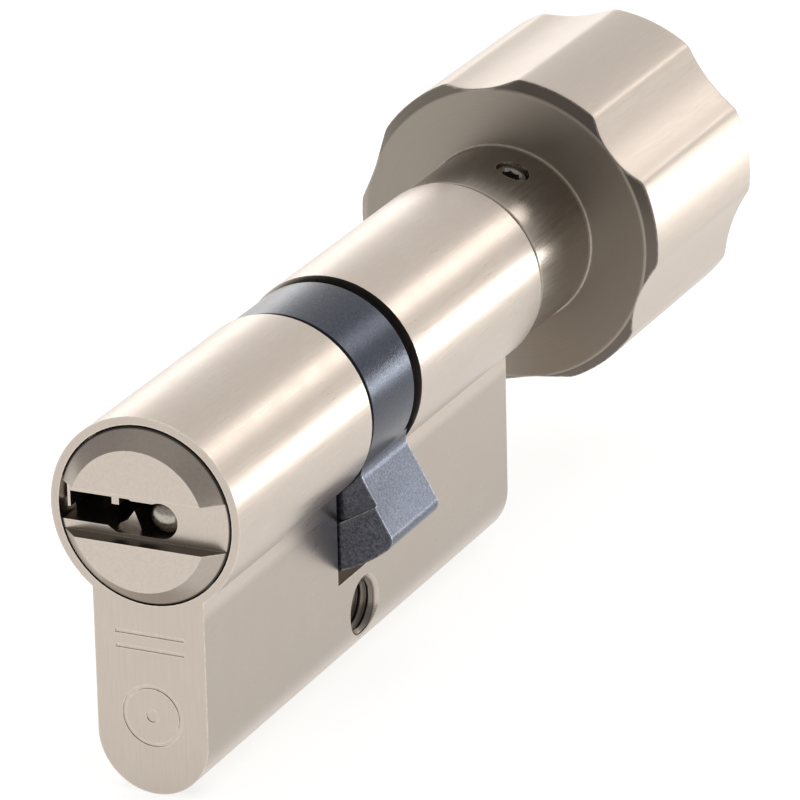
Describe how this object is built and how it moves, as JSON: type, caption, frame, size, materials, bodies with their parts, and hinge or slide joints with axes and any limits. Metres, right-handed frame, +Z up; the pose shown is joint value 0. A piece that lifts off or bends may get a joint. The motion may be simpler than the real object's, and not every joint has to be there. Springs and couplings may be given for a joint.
{
  "type": "euro cylinder",
  "caption": "Euro profile lock cylinder with a keyway on one side, a fluted turning knob on the other and a swinging cam between them.",
  "frame": {"origin": "centre of the fixing-screw hole, midway between the two sides of the flange", "axes": "+Z up towards the barrel, +Y along the barrel from the key side to the knob, +X along the fixing screw"},
  "size_m": [0.029, 0.096, 0.039],
  "materials": {
    "satin_nickel": "satin nickel plate on machined brass, fine brush lines",
    "plug_nickel": "satin nickel plate on turned brass",
    "knob_nickel": "satin nickel plate on a turned and fluted brass knob",
    "blued_steel": "blue-black finish on sintered steel, slightly grainy",
    "brass": "bare machined brass",
    "pin_brass": "bright turned brass",
    "pin_nickel_silver": "bright turned nickel silver",
    "hardened_steel": "ground hardened steel",
    "spring_steel": "drawn spring steel",
    "turned_steel": "turned steel",
    "bronze": "bearing bronze",
    "black_steel": "black oxide steel"
  },
  "bodies": {
    "housing": {"housing": "satin_nickel", "chamber_plugs": "brass", "drill_pins": "hardened_steel", "driver_spring_1": "spring_steel", "driver_spring_2": "spring_steel", "driver_spring_3": "spring_steel", "driver_spring_4": "spring_steel", "driver_spring_5": "spring_steel", "driver_spring_6": "spring_steel"},
    "plug": {"key_plug": "plug_nickel", "plug_drill_pin": "hardened_steel", "plug_clip": "spring_steel"},
    "key_clutch": {"key_clutch": "brass"},
    "knob": {"knob": "knob_nickel", "knob_shaft": "turned_steel", "shaft_clip": "spring_steel", "thrust_washer": "bronze", "grub_screw": "black_steel", "clutch_spring": "spring_steel"},
    "turn_clutch": {"turn_clutch": "brass"},
    "cam": {"cam": "blued_steel"},
    "key_pin_1": {"key_pin_1": "pin_brass"},
    "driver_pin_1": {"driver_pin_1": "pin_nickel_silver"},
    "key_pin_2": {"key_pin_2": "pin_brass"},
    "driver_pin_2": {"driver_pin_2": "pin_nickel_silver"},
    "key_pin_3": {"key_pin_3": "pin_brass"},
    "driver_pin_3": {"driver_pin_3": "pin_nickel_silver"},
    "key_pin_4": {"key_pin_4": "pin_brass"},
    "driver_pin_4": {"driver_pin_4": "pin_nickel_silver"},
    "key_pin_5": {"key_pin_5": "pin_brass"},
    "driver_pin_5": {"driver_pin_5": "pin_nickel_silver"},
    "key_pin_6": {"key_pin_6": "pin_brass"},
    "driver_pin_6": {"driver_pin_6": "pin_nickel_silver"}
  },
  "joints": [
    {"name": "plug_turn", "type": "hinge", "parent": "housing", "child": "plug", "pos_m": [0, 0, 0.019], "axis": [0, 1, 0], "continuous": true},
    {"name": "knob_turn", "type": "hinge", "parent": "housing", "child": "knob", "pos_m": [0, 0, 0.019], "axis": [0, 1, 0], "continuous": true},
    {"name": "cam_turn", "type": "hinge", "parent": "housing", "child": "cam", "pos_m": [0, 0, 0.019], "axis": [0, 1, 0], "continuous": true},
    {"name": "key_clutch_slide", "type": "slide", "parent": "plug", "child": "key_clutch", "axis": [0, 1, 0], "range_m": [0, 0.003]},
    {"name": "turn_clutch_slide", "type": "slide", "parent": "knob", "child": "turn_clutch", "axis": [0, 1, 0], "range_m": [0, 0.003], "stiffness_N_per_m": 150, "springref_m": -0.004, "deforming": ["clutch_spring"]},
    {"name": "key_pin_1_lift", "type": "slide", "parent": "plug", "child": "key_pin_1", "axis": [0, 0, 1], "range_m": [0, 0.0019]},
    {"name": "key_pin_2_lift", "type": "slide", "parent": "plug", "child": "key_pin_2", "axis": [0, 0, 1], "range_m": [0, 0.0013]},
    {"name": "key_pin_3_lift", "type": "slide", "parent": "plug", "child": "key_pin_3", "axis": [0, 0, 1], "range_m": [0, 0.0022]},
    {"name": "key_pin_4_lift", "type": "slide", "parent": "plug", "child": "key_pin_4", "axis": [0, 0, 1], "range_m": [0, 0.0016]},
    {"name": "key_pin_5_lift", "type": "slide", "parent": "plug", "child": "key_pin_5", "axis": [0, 0, 1], "range_m": [0, 0.0011]},
    {"name": "key_pin_6_lift", "type": "slide", "parent": "plug", "child": "key_pin_6", "axis": [0, 0, 1], "range_m": [0, 0.0019]},
    {"name": "driver_pin_1_drop", "type": "slide", "parent": "housing", "child": "driver_pin_1", "axis": [0, 0, -1], "range_m": [0, 0.0016], "stiffness_N_per_m": 200, "springref_m": -0.003, "deforming": ["driver_spring_1"]},
    {"name": "driver_pin_2_drop", "type": "slide", "parent": "housing", "child": "driver_pin_2", "axis": [0, 0, -1], "range_m": [0, 0.0016], "stiffness_N_per_m": 200, "springref_m": -0.003, "deforming": ["driver_spring_2"]},
    {"name": "driver_pin_3_drop", "type": "slide", "parent": "housing", "child": "driver_pin_3", "axis": [0, 0, -1], "range_m": [0, 0.0016], "stiffness_N_per_m": 200, "springref_m": -0.003, "deforming": ["driver_spring_3"]},
    {"name": "driver_pin_4_drop", "type": "slide", "parent": "housing", "child": "driver_pin_4", "axis": [0, 0, -1], "range_m": [0, 0.0016], "stiffness_N_per_m": 200, "springref_m": -0.003, "deforming": ["driver_spring_4"]},
    {"name": "driver_pin_5_drop", "type": "slide", "parent": "housing", "child": "driver_pin_5", "axis": [0, 0, -1], "range_m": [0, 0.0016], "stiffness_N_per_m": 200, "springref_m": -0.003, "deforming": ["driver_spring_5"]},
    {"name": "driver_pin_6_drop", "type": "slide", "parent": "housing", "child": "driver_pin_6", "axis": [0, 0, -1], "range_m": [0, 0.0016], "stiffness_N_per_m": 200, "springref_m": -0.003, "deforming": ["driver_spring_6"]}
  ],
  "couplings": [
    {"joint": "cam_turn", "follows": "knob_turn", "ratio": 1},
    {"joint": "turn_clutch_slide", "follows": "key_clutch_slide", "ratio": 1}
  ]
}
